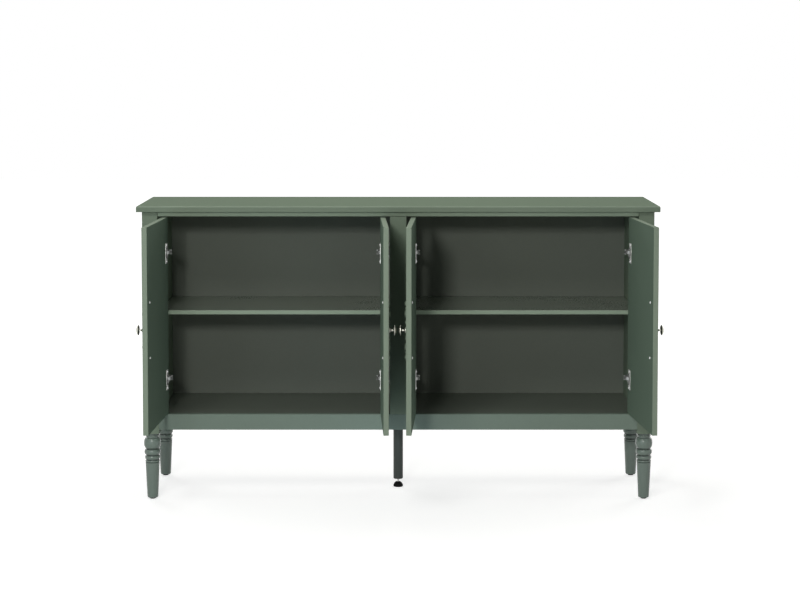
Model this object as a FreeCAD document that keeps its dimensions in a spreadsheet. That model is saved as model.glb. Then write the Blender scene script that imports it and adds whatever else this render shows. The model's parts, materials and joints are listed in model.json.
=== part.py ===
# Four-door buffet cabinet on turned legs, with concealed hinges, carved knob plates and a levelling centre leg.
# Millimetres. Origin on the floor under the middle of the carcass, +X to the right, +Y to the back, +Z up.
import FreeCAD, Part
import os
import re
import Sketcher

# Driving dimensions: name, value, meaning
driving = [
    ("top_length", 1520, "top board, left to right"),
    ("top_depth", 370, "top board, front to back"),
    ("top_thick", 18, "top board thickness"),
    ("top_round", 5, "rounding of the top board's upper edge"),
    ("overall_height", 866, "floor to top surface"),
    ("side_overhang", 15, "top board past the posts at each side"),
    ("front_overhang", 15, "top board past the posts at the front"),
    ("leg_square", 45, "side of the square corner posts"),
    ("leg_block_drop", 13, "square post below the apron"),
    ("glide_height", 4, "nail glide under a leg"),
    ("glide_radius", 9, "nail glide"),
    ("glide_nail_radius", 1.5, "nail of a glide"),
    ("glide_nail_length", 16, "nail of a glide, above its disc"),
    ("leg_foot_radius", 16, "turned leg at the floor"),
    ("leg_foot_round", 2.5, "rounded lower edge of a leg"),
    ("taper_top", 103, "height where the tapered shaft ends"),
    ("taper_top_radius", 20.7, "tapered shaft at its top"),
    ("waist_radius", 18.3, "leg between its rings"),
    ("ring_gap", 2, "groove between two rings"),
    ("ring_low_height", 6.5, "lowest ring"),
    ("ring_low_radius", 21.2, "lowest ring"),
    ("ring_mid_height", 15.5, "middle ring"),
    ("ring_mid_radius", 22.2, "middle ring"),
    ("ring_high_height", 17.5, "upper ring"),
    ("ring_high_radius", 23.6, "upper ring"),
    ("ball_radius", 24.8, "ball of a leg"),
    ("collar_height", 4.5, "small ring above the ball"),
    ("collar_radius", 19.8, "small ring above the ball"),
    ("apron_bottom", 208, "floor to the aprons"),
    ("apron_height", 46, "front apron"),
    ("apron_thick", 18, "front and back aprons"),
    ("panel_thick", 18, "side panels and bottom panel"),
    ("sub_top_thick", 14, "panel under the top board"),
    ("sub_top_recess", 3, "sub-top's front edge behind the posts' front"),
    ("back_thick", 5, "back panels"),
    ("stile_width", 48, "centre stile"),
    ("partition_thick", 15, "each partition board"),
    ("shelf_thick", 12.5, "shelves"),
    ("shelf_height", 557, "floor to the shelves' upper face"),
    ("shelf_setback", 25, "shelves behind the posts' front"),
    ("shelf_gap", 1, "play at each end and at the back of a shelf"),
    ("pin_radius", 2.5, "shelf pins"),
    ("pin_length", 18, "shelf pins"),
    ("pin_depth", 9, "shelf pin inside its panel"),
    ("pin_inset", 110, "shelf pins from mid-depth"),
    ("dowel_radius", 4, "dowels"),
    ("dowel_length", 24, "dowels"),
    ("door_thick", 15, "doors"),
    ("door_gap", 2, "gap around a door"),
    ("door_one_angle", 92.8, "opening of the left outer door, degrees"),
    ("door_two_angle", 92, "opening of the left inner door, degrees"),
    ("door_three_angle", 92.7, "opening of the right inner door, degrees"),
    ("door_four_angle", 94.8, "opening of the right outer door, degrees"),
    ("hinge_inset", 13, "swing axis from the face that carries the hinge"),
    ("hinge_from_end", 103, "hinge centre from the door's end"),
    ("cup_radius", 17.5, "hinge cup"),
    ("cup_depth", 11.5, "hinge cup inside the door"),
    ("cup_wall", 0.8, "hinge cup wall"),
    ("cup_fit", 0.1, "play of a cup in its bore"),
    ("cup_from_edge", 21.5, "cup centre from the door's edge"),
    ("lip_thick", 1.2, "bearing lip of a cup, beside the link's rolled end"),
    ("lip_gap", 0.95, "between the bearing lip and the link's rolled end when shut"),
    ("flange_thick", 1.2, "hinge cup flange"),
    ("flange_height", 57.5, "hinge cup flange, top to bottom"),
    ("flange_width", 24, "hinge cup flange at its ears"),
    ("flange_lip", 1.5, "flange past the cup"),
    ("ear_offset", 6, "ear screws from the cup's centre line"),
    ("ear_spacing", 48, "between a cup's two ear screws"),
    ("nose_inset", 23, "arm pivot from the swing axis, along the front"),
    ("nose_rise", 6, "arm pivot behind the door's inner face"),
    ("nose_radius", 4, "rounded end of the hinge arm"),
    ("nose_under", -123.4, "where the nose's round leaves the arm's front face, degrees"),
    ("nose_over", 49.5, "where the nose's round meets the arm's rear face, degrees"),
    ("arm_width", 13, "hinge arm, top to bottom"),
    ("arm_thick", 7, "hinge arm over its plate"),
    ("arm_start", 24, "hinge arm's straight part, behind the door's inner face"),
    ("arm_length", 52, "hinge arm's straight part"),
    ("fork_width", 9.6, "slot in the arm's nose"),
    ("fork_room", 0.6, "room round the link's eye in the slot"),
    ("plate_height", 10.5, "hinge plate block"),
    ("plate_width", 11, "hinge plate block, top to bottom"),
    ("plate_start", 23, "hinge plate block, behind the door's inner face"),
    ("plate_length", 50, "hinge plate block"),
    ("wing_thick", 2.5, "hinge plate wings"),
    ("wing_width", 18, "hinge plate wings, front to back"),
    ("wing_height", 46, "hinge plate wings, top to bottom"),
    ("plate_screw_back", 37, "plate screws behind the door's inner face"),
    ("plate_screw_spacing", 32, "between a plate's two screws"),
    ("arm_screw_back", 60, "arm screw behind the door's inner face"),
    ("link_radius", 17, "curve of the hinge link"),
    ("link_sweep", 90, "angle of the link's curve, degrees"),
    ("link_start", -117, "angle of the curve at the cup end, degrees"),
    ("link_thick", 2.2, "hinge link"),
    ("link_width", 9, "hinge link, top to bottom"),
    ("link_eye_radius", 2.8, "link's eye on the arm's pin"),
    ("link_tip_radius", 1.8, "link's rolled end in the cup"),
    ("link_ratio", 0.519, "turn of a link for each degree of its door"),
    ("hinge_pin_radius", 1.5, "pin in the arm's nose"),
    ("hinge_pin_play", 0.2, "play of a link on its pin"),
    ("knob_from_edge", 34, "knob from the door's free edge"),
    ("knob_radius", 13.8, "knob head"),
    ("knob_length", 19.5, "knob from its seat to its tip"),
    ("knob_dome", 4, "rise of the knob's face"),
    ("knob_rim", 3.2, "edge of the knob's head"),
    ("knob_under", 1, "hollowed underside of the knob's head"),
    ("knob_stem_radius", 2.8, "knob stem"),
    ("knob_base_radius", 7, "knob base"),
    ("knob_base_height", 5, "knob base"),
    ("knob_stud_radius", 2, "knob's screw stud"),
    ("knob_stud_length", 11, "knob's screw stud"),
    ("carving_length", 198, "carved knob plate, top to bottom"),
    ("carving_width", 44, "carved knob plate"),
    ("carving_thick", 1, "ground of the carved plate"),
    ("boss_radius", 8.5, "knob's seat on the carved plate"),
    ("boss_height", 3, "knob's seat above the door"),
    ("carving_screw_rise", 77, "carved plate's screws above and below the knob"),
    ("carving_screw_bite", 2, "carved plate's screws inside the plate"),
    ("pan_head_radius", 3.5, "pan head screws"),
    ("pan_head_height", 2.2, "pan head screws"),
    ("pan_shank_radius", 1.75, "pan head screws"),
    ("pan_length", 13, "panel screws under the head"),
    ("ear_screw_length", 11, "cup screws under the head"),
    ("arm_screw_length", 12, "arm screws under the head"),
    ("arm_screw_radius", 2.5, "arm screws"),
    ("top_screw_head_radius", 4.2, "top board screws"),
    ("top_screw_head_height", 3, "top board screws"),
    ("top_screw_radius", 2.1, "top board screws"),
    ("top_screw_length", 26, "top board screws"),
    ("top_screw_inset", 60, "top board screws from the panel's ends"),
    ("top_screw_depth", 125, "top board screws from mid-depth"),
    ("prop_radius", 13.5, "round centre leg"),
    ("prop_chamfer", 1.5, "lower edge of the centre leg"),
    ("prop_bottom", 24.6, "floor to the centre leg"),
    ("prop_plate_side", 70, "centre leg's steel plate"),
    ("prop_plate_thick", 3, "centre leg's steel plate"),
    ("prop_stud_radius", 4, "stud of the steel plate"),
    ("prop_stud_length", 30, "stud of the steel plate"),
    ("prop_screw_inset", 10, "plate screws from the plate's edges"),
    ("insert_radius", 6, "threaded insert in the centre leg"),
    ("insert_length", 16, "threaded insert in the centre leg"),
    ("foot_radius", 14.5, "levelling foot"),
    ("foot_rim", 6, "upright edge of the levelling foot"),
    ("foot_height", 17, "levelling foot"),
    ("foot_neck_radius", 5, "levelling foot under its screw"),
    ("foot_screw_radius", 3, "levelling screw"),
    ("foot_screw_length", 44, "levelling screw above the foot"),
    ("foot_screw_socket", 9, "levelling screw inside the foot"),
    ("foot_screw_play", 0.4, "play of the levelling screw"),
    ("foot_travel", 7, "how far the foot screws in"),
]

# Values that follow from the driving dimensions
derived = {
    "half_width": "top_length / 2 - side_overhang",
    "carcass_depth": "top_depth - front_overhang",
    "front": "-carcass_depth / 2",
    "back": "carcass_depth / 2",
    "post_inner": "half_width - leg_square",
    "post_axis": "half_width - leg_square / 2",
    "post_back": "front + leg_square",
    "square_bottom": "apron_bottom - leg_block_drop",
    "apron_top": "apron_bottom + apron_height",
    "bottom_under": "apron_top - panel_thick",
    "top_under": "overall_height - top_thick",
    "sub_under": "top_under - sub_top_thick",
    "back_face": "back - back_thick",
    "stile_half": "stile_width / 2",
    "partition_inner": "stile_half - partition_thick",
    "shelf_under": "shelf_height - shelf_thick",
    "ring_low_top": "taper_top + ring_low_height",
    "ring_mid_low": "ring_low_top + ring_gap",
    "ring_mid_top": "ring_mid_low + ring_mid_height",
    "ring_high_low": "ring_mid_top + ring_gap",
    "ring_high_top": "ring_high_low + ring_high_height",
    "ball_low": "ring_high_top + ring_gap",
    "ball_top": "ball_low + 2 * sqrt(ball_radius ^ 2 - waist_radius ^ 2)",
    "collar_low": "(ball_top + square_bottom - collar_height) / 2",
    "opening_width": "post_inner - stile_half",
    "door_width": "(opening_width - 3 * door_gap) / 2",
    "door_height": "sub_under - apron_top - 2 * door_gap",
    "door_mid": "(sub_under + apron_top) / 2",
    "hinge_reach": "hinge_inset - door_gap",
    "free_edge": "door_width - hinge_reach",
    "hinge_rise": "door_height / 2 - hinge_from_end",
    "cup_across": "cup_from_edge - hinge_reach",
    "nose_back": "door_thick + nose_rise",
    "arm_under": "plate_height - hinge_inset",
    "arm_front": "door_thick + arm_start",
    "plate_front": "door_thick + plate_start",
    "wing_middle": "door_thick + plate_screw_back",
    "link_centre_across": "nose_inset - link_radius * cos(link_start + link_sweep)",
    "link_centre_back": "nose_back - link_radius * sin(link_start + link_sweep)",
    "link_tip_across": "link_centre_across + link_radius * cos(link_start)",
    "link_tip_back": "link_centre_back + link_radius * sin(link_start)",
    "lip_edge": "link_tip_across - link_tip_radius - lip_gap",
    "knob_across": "free_edge - knob_from_edge",
    "prop_plate_under": "bottom_under - prop_plate_thick",
    "prop_screw_place": "prop_plate_side / 2 - prop_screw_inset",
    "prop_bore": "foot_screw_radius + foot_screw_play",
    "prop_bore_top": "foot_height + foot_screw_length + foot_travel + 2 * foot_screw_play",
}

doc = FreeCAD.newDocument("buffet_cabinet")
sheet = doc.addObject("Spreadsheet::Sheet", "dims")
for row, (alias, number, meaning) in enumerate(driving, 1):
    sheet.set(f"A{row}", meaning)
    sheet.set(f"B{row}", str(number))
    sheet.setAlias(f"B{row}", alias)
doc.recompute()
aliases = {alias for alias, number, meaning in driving}
nodes = {}


def formula(text):
    # writes each name in a formula as its cell, or as the formula it stands for
    def cell(match):
        word = match.group()
        if word in derived:
            return f"({formula(derived[word])})"
        return f"dims.{word}" if word in aliases else word

    return re.sub(r"[a-z_]+", cell, str(text))


def value(text):
    return float(sheet.evalExpression(formula(text)))


def at(x, y, z):
    return f"placement(vector({x}; {y}; {z}); rotation(vector(0; 0; 1); 0))"


def turn(axis, angle):
    x, y, z = {"x": (1, 0, 0), "y": (0, 1, 0), "z": (0, 0, 1)}[axis]
    return f"placement(vector(0; 0; 0); rotation(vector({x}; {y}; {z}); {angle}))"


# A piece made upright is turned so that its upper end faces one of these ways
facing = {"left": turn("y", -90), "right": turn("y", 90), "front": turn("x", 90), "back": turn("x", -90),
          "up": turn("z", 0), "down": turn("x", 180)}


def bind(piece, **properties):
    for name, text in properties.items():
        piece.setExpression(name, formula(text))
    return piece


def place(piece, *steps):
    piece.setExpression("Placement", formula(" * ".join(steps)))
    return piece


def keep(label, piece):
    piece.Label = label
    nodes[label] = piece
    return piece


def board(name, x, y, z):
    # a box between two faces along each axis
    piece = doc.addObject("Part::Box", name)
    length, width, height = [f"({high}) - ({low})" for low, high in (x, y, z)]
    bind(piece, Length=length, Width=width, Height=height)
    return place(piece, at(x[0], y[0], z[0]))


def rod(name, radius, length, *steps):
    piece = doc.addObject("Part::Cylinder", name)
    bind(piece, Radius=radius, Height=length)
    return place(piece, *steps)


def compound(name, pieces):
    group = doc.addObject("Part::Compound", name)
    group.Links = pieces
    return group


def fused(name, pieces):
    union = doc.addObject("Part::MultiFuse", name)
    union.Shapes = pieces
    return union


def drilled(name, blank, tools):
    cut = doc.addObject("Part::Cut", name)
    cut.Base = blank
    cut.Tool = compound(name + "_tools", tools)
    return cut


def copies(name, form, frames):
    # one piece repeated in several places
    links = []
    for count, frame in enumerate(frames, 1):
        link = doc.addObject("App::Link", f"{name}_{count}")
        link.LinkedObject = form
        links.append(place(link, *frame))
    return compound(name, links)


def arc_radius(chord, rise):
    return f"(({chord}) ^ 2 / 4 + ({rise}) ^ 2) / (2 * ({rise}))"


def outline(body, plane, corners):
    # A closed outline, counter-clockwise. A corner's third value is the radius of an arc to the next corner,
    # which bulges outwards.
    sketch = body.newObject("Sketcher::SketchObject", f"{body.Name}_outline")
    origin_plane = next(each for each in body.Origin.OriginFeatures if each.Role == plane)
    sketch.AttachmentSupport = [(origin_plane, "")]
    sketch.MapMode = "FlatFace"
    points = [FreeCAD.Vector(value(corner[0]), value(corner[1]), 0) for corner in corners]
    following = points[1:] + points[:1]
    for corner, start, end in zip(corners, points, following):
        if len(corner) == 2:
            sketch.addGeometry(Part.LineSegment(start, end))
            continue
        radius, chord = value(corner[2]), end - start
        outward = FreeCAD.Vector(chord.y, -chord.x, 0).normalize()
        inset = max(radius ** 2 - chord.Length ** 2 / 4, 0) ** 0.5
        crown = (start + end) / 2 + outward * (radius - inset)
        sketch.addGeometry(Part.Arc(start, crown, end))
    count = len(corners)
    for edge in range(count):
        sketch.addConstraint(Sketcher.Constraint("Coincident", edge, 2, (edge + 1) % count, 1))
    for edge, corner in enumerate(corners):
        for letter, kind, text in zip("xy", ("DistanceX", "DistanceY"), corner):
            made = sketch.addConstraint(Sketcher.Constraint(kind, -1, 1, edge, 1, value(text)))
            sketch.renameConstraint(made, f"{letter}{edge}")
            sketch.setExpression(f"Constraints.{letter}{edge}", formula(text))
        if len(corner) == 3:
            made = sketch.addConstraint(Sketcher.Constraint("Radius", edge, value(corner[2])))
            sketch.renameConstraint(made, f"r{edge}")
            sketch.setExpression(f"Constraints.r{edge}", formula(corner[2]))
    return sketch


def spun(name, corners):
    # a turned piece: radius and height of each corner, about the upright axis
    body = doc.addObject("PartDesign::Body", name)
    sketch = outline(body, "XZ_Plane", corners)
    turned = body.newObject("PartDesign::Revolution", f"{name}_turned")
    turned.Profile = sketch
    turned.ReferenceAxis = (sketch, ["V_Axis"])
    turned.Angle = 360
    return body


def padded(name, plane, corners, length, both_ways=False):
    body = doc.addObject("PartDesign::Body", name)
    pad = body.newObject("PartDesign::Pad", f"{name}_pad")
    pad.Profile = outline(body, plane, corners)
    pad.Midplane = both_ways
    bind(pad, Length=length)
    body.Tip = pad
    return body


def screw(name, radius, length, head_radius, head_height):
    # pan head screw, head up, with its seat at the origin
    return spun(name, [
        ("0", f"-({length})"), (radius, f"-({length})"), (radius, "0"), (head_radius, "0"),
        (head_radius, f"({head_height}) / 3"), (f"({head_radius}) / 2", head_height), ("0", head_height)])


def bead(low, top, radius):
    # a half-round ring between two heights of a leg
    return [("waist_radius", low, arc_radius(f"({top}) - ({low})", f"({radius}) - waist_radius"))]


def turned_leg(name, x, y):
    leg = spun(name, [
        ("0", "glide_height"), ("leg_foot_radius - leg_foot_round", "glide_height", "leg_foot_round"),
        ("leg_foot_radius", "glide_height + leg_foot_round"), ("taper_top_radius", "taper_top"),
        *bead("taper_top", "ring_low_top", "ring_low_radius"), ("waist_radius", "ring_low_top"),
        *bead("ring_mid_low", "ring_mid_top", "ring_mid_radius"), ("waist_radius", "ring_mid_top"),
        *bead("ring_high_low", "ring_high_top", "ring_high_radius"), ("waist_radius", "ring_high_top"),
        ("waist_radius", "ball_low", "ball_radius"), ("waist_radius", "ball_top"),
        *bead("collar_low", "collar_low + collar_height", "collar_radius"),
        ("waist_radius", "collar_low + collar_height"), ("waist_radius", "square_bottom"),
        ("0", "square_bottom")])
    side = "leg_square / 2"
    square = outline(leg, "XY_Plane", [(f"-{side}", f"-{side}"), (side, f"-{side}"), (side, side),
                                       (f"-{side}", side)])
    bind(square, **{"AttachmentOffset.Base.z": "square_bottom"})
    post = leg.newObject("PartDesign::Pad", f"{name}_post")
    post.Profile = square
    bind(post, Length="top_under - square_bottom")
    leg.Tip = post
    return place(leg, at(x, y, 0))


# Doors: node name, swing axis across the front, flip for a right-hand hinge, opening angle
doors = [
    ("door_1", "-(post_inner - hinge_inset)", 0, "door_one_angle"),
    ("door_2", "-(stile_half + hinge_inset)", 180, "door_two_angle"),
    ("door_3", "stile_half + hinge_inset", 0, "door_three_angle"),
    ("door_4", "post_inner - hinge_inset", 180, "door_four_angle"),
]


def hinge_frame(axis, flip):
    # the carcass side of a hinge: origin on the swing axis at mid-height, x along the shut door, y inwards
    return [at(axis, "front", "door_mid"), turn("y", flip)]


def door_frame(axis, flip, opening):
    return hinge_frame(axis, flip) + [turn("z", f"-{opening}")]


def link_frame(axis, flip, opening):
    swing = turn("z", f"link_ratio * {opening}")
    return hinge_frame(axis, flip) + [at("nose_inset", "nose_back", 0), swing, at("-nose_inset", "-nose_back", 0)]


levels = [at(0, 0, "hinge_rise"), at(0, 0, "-hinge_rise")]

# Carcass blanks, before drilling
side_y = ("post_back", "-post_back")
inside_x = ("-post_inner", "post_inner")
blanks = {
    "sub_top_panel": board("sub_top_blank", inside_x, ("front + sub_top_recess", "back_face"),
                           ("sub_under", "top_under")),
    "bottom_panel": board("bottom_blank", inside_x, ("front + apron_thick", "back_face"),
                          ("bottom_under", "apron_top")),
    "front_apron": board("front_apron_blank", inside_x, ("front", "front + apron_thick"),
                         ("apron_bottom", "apron_top")),
    "back_apron": board("back_apron_blank", inside_x, ("back - apron_thick", "back"),
                        ("apron_bottom", "bottom_under")),
    "centre_stile": board("stile_blank", ("-stile_half", "stile_half"), ("front", "front + apron_thick"),
                          ("apron_top", "sub_under")),
}
top_blank = board("top_blank", ("-top_length / 2", "top_length / 2"), ("front - front_overhang", "back"),
                  ("top_under", "overall_height"))
doc.recompute()
blanks["top_board"] = doc.addObject("Part::Fillet", "top_rounded")
blanks["top_board"].Base = top_blank
blanks["top_board"].Edges = [
    (number, value("top_round"), value("top_round")) for number, edge in enumerate(top_blank.Shape.Edges, 1)
    if edge.BoundBox.ZMin > value("overall_height - top_thick / 2")]
for side, sign in (("left", "-"), ("right", "")):
    outer = sorted((f"{sign}post_inner", f"{sign}(post_inner + panel_thick)"), key=value)
    lining = sorted((f"{sign}partition_inner", f"{sign}stile_half"), key=value)
    half = sorted(("0", f"{sign}post_inner"), key=value)
    span = sorted((f"{sign}(stile_half + shelf_gap)", f"{sign}(post_inner - shelf_gap)"), key=value)
    blanks[f"side_panel_{side}"] = board(f"side_blank_{side}", outer, side_y, ("apron_bottom", "top_under"))
    blanks[f"partition_board_{side}"] = board(
        f"partition_blank_{side}", lining, ("front + apron_thick", "back_face"), ("apron_top", "sub_under"))
    blanks[f"back_panel_{side}"] = board(f"back_blank_{side}", half, ("back_face", "back"),
                                         ("bottom_under", "top_under"))
    keep(f"shelf_{side}", board(f"shelf_blank_{side}", span, ("front + shelf_setback", "back_face - shelf_gap"),
                                ("shelf_under", "shelf_height")))
    for end, depth in (("front", "front + leg_square / 2"), ("back", "back - leg_square / 2")):
        blanks[f"leg_{end}_{side}"] = turned_leg(f"leg_blank_{end}_{side}", f"{sign}post_axis", depth)
tools = {name: [] for name in blanks}

# Dowels across the joints; the two pieces that each joins are drilled with it
dowels = []


def dowel(x, y, z, way, *pieces):
    steps = [at(x, y, z), facing[way], at(0, 0, "-dowel_length / 2")]
    dowels.append(rod(f"dowel_{len(dowels) + 1}", "dowel_radius", "dowel_length", *steps))
    for piece in pieces:
        tools[piece].append(dowels[-1])


apron_middle = "front + apron_thick / 2"
back_apron_middle = "back - apron_thick / 2"
for side, sign in (("left", "-"), ("right", "")):
    joint = f"{sign}post_inner"
    for share in ("apron_height / 4", "3 * apron_height / 4"):
        dowel(joint, apron_middle, f"apron_bottom + {share}", "right", "front_apron", f"leg_front_{side}")
    dowel(joint, back_apron_middle, "(apron_bottom + bottom_under) / 2", "right", "back_apron", f"leg_back_{side}")
    for height in ("apron_top + leg_square", "door_mid", "sub_under - leg_square"):
        for end, depth in (("front", "post_back"), ("back", "-post_back")):
            dowel(f"{sign}(post_inner + panel_thick / 2)", depth, height, "back",
                  f"side_panel_{side}", f"leg_{end}_{side}")
    for depth in ("post_back / 2", "-post_back / 2"):
        dowel(joint, depth, "apron_top - panel_thick / 2", "right", "bottom_panel", f"side_panel_{side}")
        dowel(joint, depth, "top_under - sub_top_thick / 2", "right", "sub_top_panel", f"side_panel_{side}")
        board_middle = f"{sign}(stile_half - partition_thick / 2)"
        dowel(board_middle, depth, "apron_top", "up", "bottom_panel", f"partition_board_{side}")
        dowel(board_middle, depth, "sub_under", "up", "sub_top_panel", f"partition_board_{side}")
    dowel(f"{sign}stile_half / 2", apron_middle, "apron_top", "up", "centre_stile", "front_apron")
    dowel(f"{sign}stile_half / 2", apron_middle, "sub_under", "up", "centre_stile", "sub_top_panel")
keep("carcass_dowels", compound("dowel_group", dowels))

# Shelf pins, half in the panels at both ends of each shelf
pins = []
for sign, side in (("-", "left"), ("", "right")):
    for wall, way, carrier in ((f"{sign}post_inner", "left" if sign == "" else "right", f"side_panel_{side}"),
                               (f"{sign}stile_half", "right" if sign == "" else "left", f"partition_board_{side}")):
        for depth in ("-pin_inset", "pin_inset"):
            steps = [at(wall, depth, "shelf_under - pin_radius"), facing[way], at(0, 0, "-pin_depth")]
            pins.append(rod(f"pin_{len(pins) + 1}", "pin_radius", "pin_length", *steps))
            tools[carrier].append(pins[-1])
keep("shelf_pins", compound("pin_group", pins))

# Nail glides under the corner legs
glide = spun("glide_form", [
    ("0", "0"), ("glide_radius - glide_height / 2", "0", "glide_height / 2"), ("glide_radius", "glide_height / 2"),
    ("glide_radius", "glide_height"), ("glide_nail_radius", "glide_height"),
    ("glide_nail_radius", "glide_height + glide_nail_length"), ("0", "glide_height + glide_nail_length")])
glide_frames = []
for sign in ("-", ""):
    for depth in ("front + leg_square / 2", "back - leg_square / 2"):
        glide_frames.append([at(f"{sign}post_axis", depth, 0)])
keep("leg_glides", copies("glide_group", glide, glide_frames))
for end, side, link in zip(("front", "back") * 2, ("left", "left", "right", "right"), nodes["leg_glides"].Links):
    tools[f"leg_{end}_{side}"].append(link)

# Countersunk screws up through the sub-top into the top board
top_screw = spun("top_screw_form", [
    ("0", "-top_screw_length"), ("top_screw_radius", "-top_screw_length"),
    ("top_screw_radius", "-top_screw_head_height"), ("top_screw_head_radius", "0"), ("0", "0")])
top_frames = []
for across in ("post_inner - top_screw_inset", "stile_half + top_screw_inset"):
    for sign in ("-", ""):
        for depth in ("-top_screw_depth", "top_screw_depth"):
            top_frames.append([at(f"{sign}({across})", depth, "sub_under"), facing["down"]])
keep("top_screws", copies("top_screw_group", top_screw, top_frames))
tools["sub_top_panel"].append(nodes["top_screws"])
tools["top_board"].append(nodes["top_screws"])

# Hinge plates, arms and pins on the carcass, and the links between the arms and the cups
arm_screw = screw("arm_screw_form", "arm_screw_radius", "arm_screw_length", "pan_head_radius", "pan_head_height")
pan_screw = screw("pan_screw_form", "pan_shank_radius", "pan_length", "pan_head_radius", "pan_head_height")
arm_screw_step = [at("arm_under + arm_thick", "door_thick + arm_screw_back", 0), facing["right"]]
wing_steps = [[at("wing_thick - hinge_inset", "wing_middle", f"{sign}plate_screw_spacing / 2"), facing["right"]]
              for sign in ("-", "")]
arm_screw_here = copies("arm_screw_tool", arm_screw, [arm_screw_step])
plate_blank = fused("plate_blank", [
    board("plate_block", ("-hinge_inset", "arm_under"), ("plate_front", "plate_front + plate_length"),
          ("-plate_width / 2", "plate_width / 2")),
    board("plate_wings", ("-hinge_inset", "wing_thick - hinge_inset"),
          ("wing_middle - wing_width / 2", "wing_middle + wing_width / 2"), ("-wing_height / 2", "wing_height / 2"))])
plate = drilled("plate_form", plate_blank, [copies("wing_screw_tools", pan_screw, wing_steps), arm_screw_here])

# The arm's outline: flat on its plate, then reaching forward to the rounded nose
arm_low, arm_high = "arm_under", "arm_under + arm_thick"
arm_blank = padded("arm_blank", "XY_Plane", [
    (arm_low, "arm_front - nose_rise"),
    ("nose_inset + nose_radius * cos(nose_under)", "nose_back + nose_radius * sin(nose_under)", "nose_radius"),
    ("nose_inset + nose_radius * cos(nose_over)", "nose_back + nose_radius * sin(nose_over)"),
    (arm_high, "arm_front + nose_rise / 2"), (arm_high, "arm_front + arm_length"),
    (arm_low, "arm_front + arm_length")], "arm_width", both_ways=True)
fork = board("arm_fork", ("nose_inset - 2 * nose_radius", "nose_inset + 2 * nose_radius"),
             ("nose_back - 2 * nose_radius", "nose_back + link_eye_radius + fork_room"),
             ("-fork_width / 2", "fork_width / 2"))
hinge_pin = rod("hinge_pin_form", "hinge_pin_radius", "arm_width", at("nose_inset", "nose_back", "-arm_width / 2"))
arm = drilled("arm_form", arm_blank, [fork, hinge_pin, arm_screw_here])

# The link: a curved bar with an eye on the arm's pin and a rolled end in the cup
link_low = "-link_width / 2"
curve_steps = [at("link_centre_across", "link_centre_back", link_low), turn("z", "link_start")]
link_curve = drilled("link_curve", bind(
    rod("link_outer", "link_radius + link_thick / 2", "link_width", *curve_steps), Angle="link_sweep"), [
        rod("link_inner", "link_radius - link_thick / 2", "link_width", *curve_steps)])
link_blank = fused("link_blank", [
    link_curve, rod("link_eye", "link_eye_radius", "link_width", at("nose_inset", "nose_back", link_low)),
    rod("link_tip", "link_tip_radius", "link_width", at("link_tip_across", "link_tip_back", link_low))])
link = drilled("link_form", link_blank, [
    rod("link_bore", "hinge_pin_radius + hinge_pin_play", "link_width", at("nose_inset", "nose_back", link_low))])

# Cups, let into the doors
ear_steps = [[at("cup_across + ear_offset", "door_thick + flange_thick", f"{sign}ear_spacing / 2"), facing["back"]]
             for sign in ("-", "")]
ear_screw = screw("ear_screw_form", "pan_shank_radius", "ear_screw_length", "pan_head_radius", "pan_head_height")
cup_floor = [at("cup_across", "door_thick - cup_depth", 0), facing["back"]]
cup_blank = fused("cup_blank", [
    rod("cup_outer", "cup_radius", "cup_depth + flange_thick", *cup_floor),
    rod("cup_lip", "cup_radius + flange_lip", "flange_thick", at("cup_across", "door_thick", 0), facing["back"]),
    board("cup_ears", ("cup_across + ear_offset - flange_width / 2", "cup_across + ear_offset + flange_width / 2"),
          ("door_thick", "door_thick + flange_thick"), ("-flange_height / 2", "flange_height / 2"))])
cup_hollow = drilled("cup_hollow", rod("cup_mouth", "cup_radius - cup_wall", "cup_depth + flange_thick", *cup_floor,
                                       at(0, 0, "cup_wall")),
                     [board("cup_bearing_lip", ("cup_across - cup_radius", "lip_edge"),
                            ("door_thick - lip_thick", "door_thick"), ("-cup_radius", "cup_radius"))])
cup = drilled("cup_form", cup_blank, [cup_hollow, copies("ear_screw_tools", ear_screw, ear_steps)])

# Knob and its carved plate
knob_head = "knob_length - knob_dome - knob_rim"
knob = spun("knob_form", [
    ("0", "-knob_stud_length"), ("knob_stud_radius", "-knob_stud_length"), ("knob_stud_radius", "0"),
    ("knob_base_radius", "0"), ("knob_base_radius", "knob_base_height / 2"), ("knob_stem_radius", "knob_base_height"),
    ("knob_stem_radius", f"{knob_head} - knob_under"), ("knob_radius", knob_head),
    ("knob_radius", f"{knob_head} + knob_rim", arc_radius("2 * knob_radius", "knob_dome")), ("0", "knob_length")])
knob_step = [at("knob_across", "-boss_height", 0), facing["front"]]
knob_here = copies("knob_tool", knob, [knob_step])
carving_screw = screw("carving_screw_form", "pan_shank_radius", "door_thick + carving_screw_bite",
                      "pan_head_radius", "pan_head_height")
carving_screw_steps = [[at("knob_across", "door_thick", f"{sign}carving_screw_rise"), facing["back"]]
                       for sign in ("-", "")]
carving_screws_here = copies("carving_screw_tools", carving_screw, carving_screw_steps)
leaf_radius = arc_radius("carving_length", "carving_width / 2")
ground = place(padded("carving_ground", "XZ_Plane", [
    ("0", "-carving_length / 2", leaf_radius), ("0", "carving_length / 2", leaf_radius)], "carving_thick"),
    at("knob_across", 0, 0))
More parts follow.
